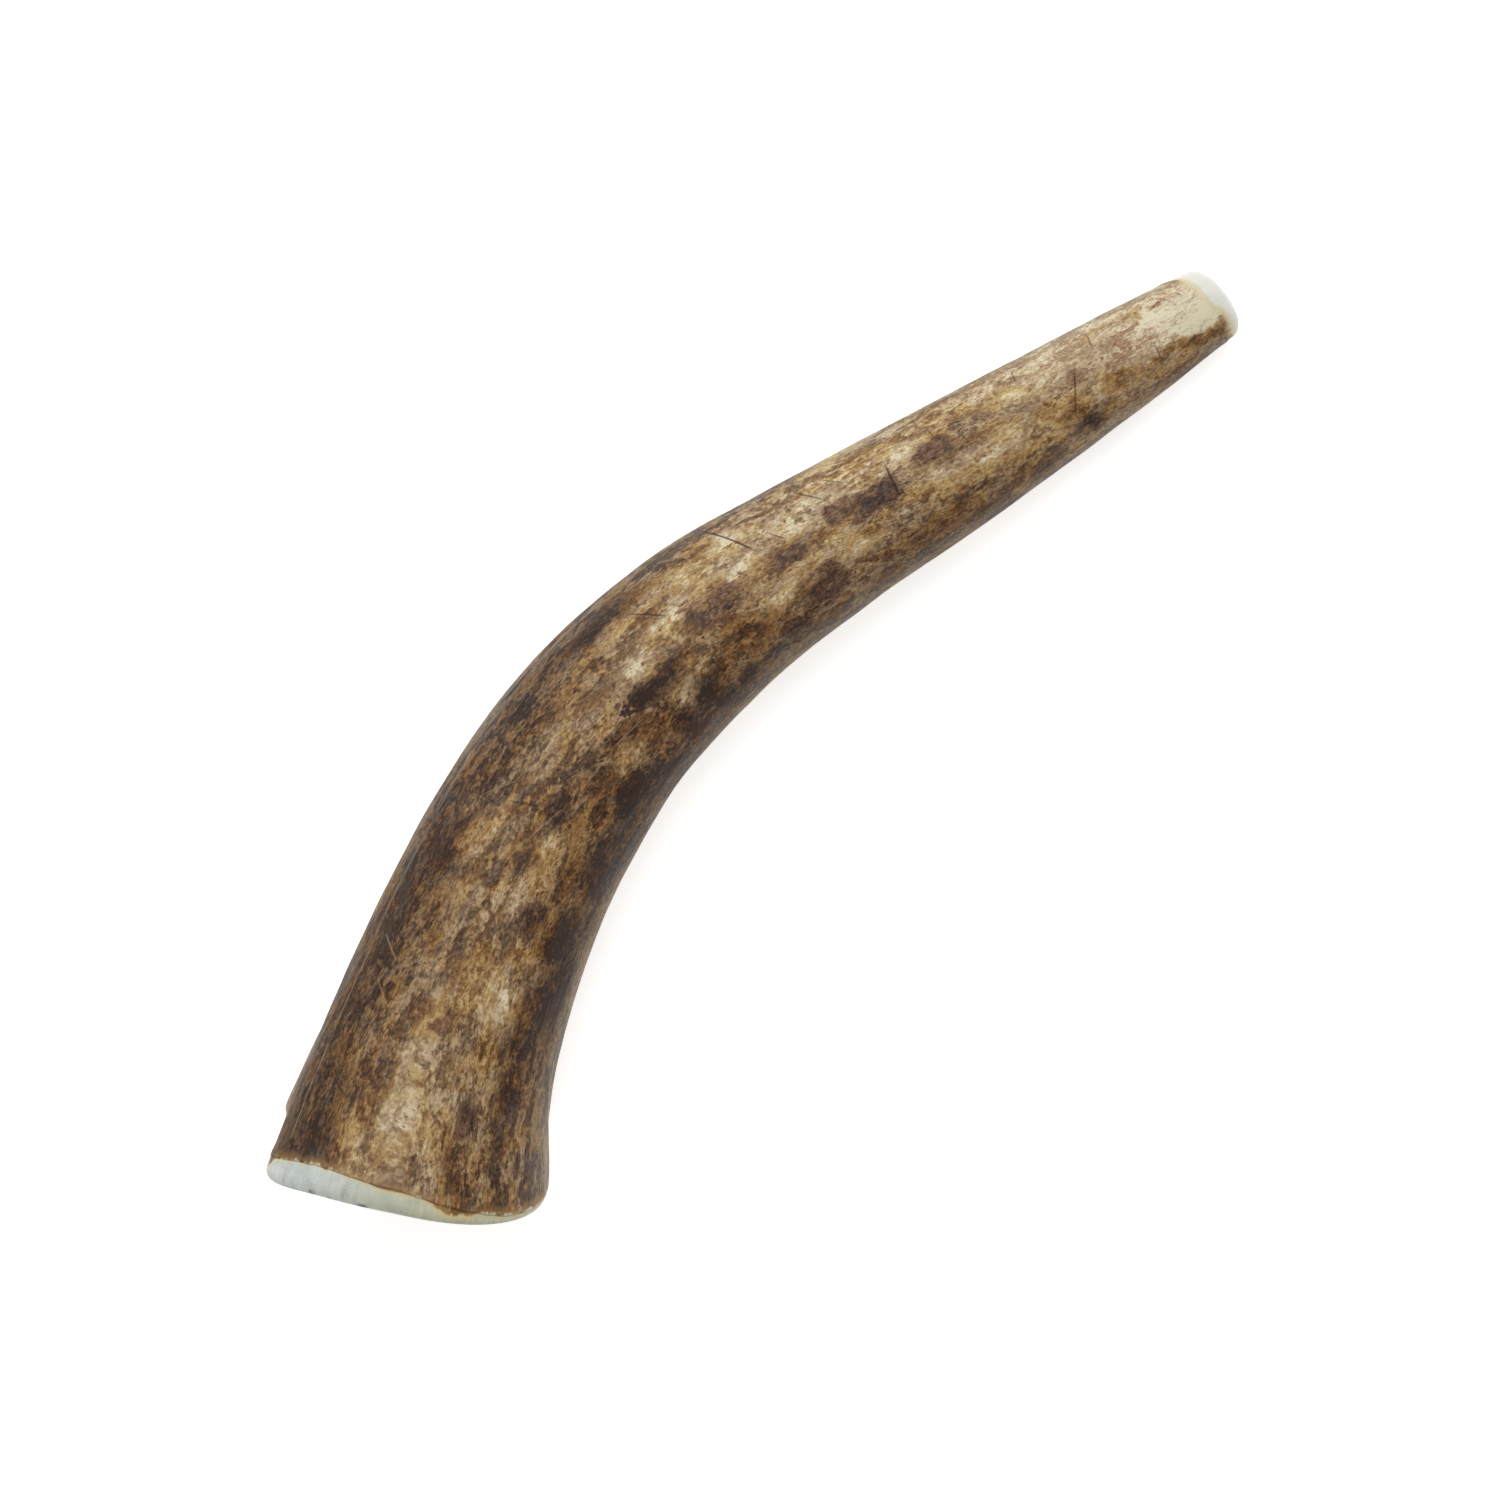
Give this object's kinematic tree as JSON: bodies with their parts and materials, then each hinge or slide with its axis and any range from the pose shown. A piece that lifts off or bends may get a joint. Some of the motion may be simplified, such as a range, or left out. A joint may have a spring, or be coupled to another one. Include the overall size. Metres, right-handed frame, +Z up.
{
  "type": "sawn antler tine",
  "caption": "Tapering, bent length of natural antler, sawn at both ends with rounded bare rims, lying on its side; a chew, or a blank for a handle or carving.",
  "frame": {"origin": "on the ground, under the middle of the tine's box as it lies on its side", "axes": "+X along the tine from the sawn base to the tip, +Y towards the side that the bend bulges to, +Z up from the ground"},
  "size_m": [0.1681, 0.0488, 0.0309],
  "materials": {
    "antler_bark": "satin",
    "bare_bone": "satin",
    "porous_core": "matte"
  },
  "bodies": {
    "root": {"bark": "antler_bark", "compact_bone": "bare_bone", "spongy_core": "porous_core"}
  },
  "joints": []
}
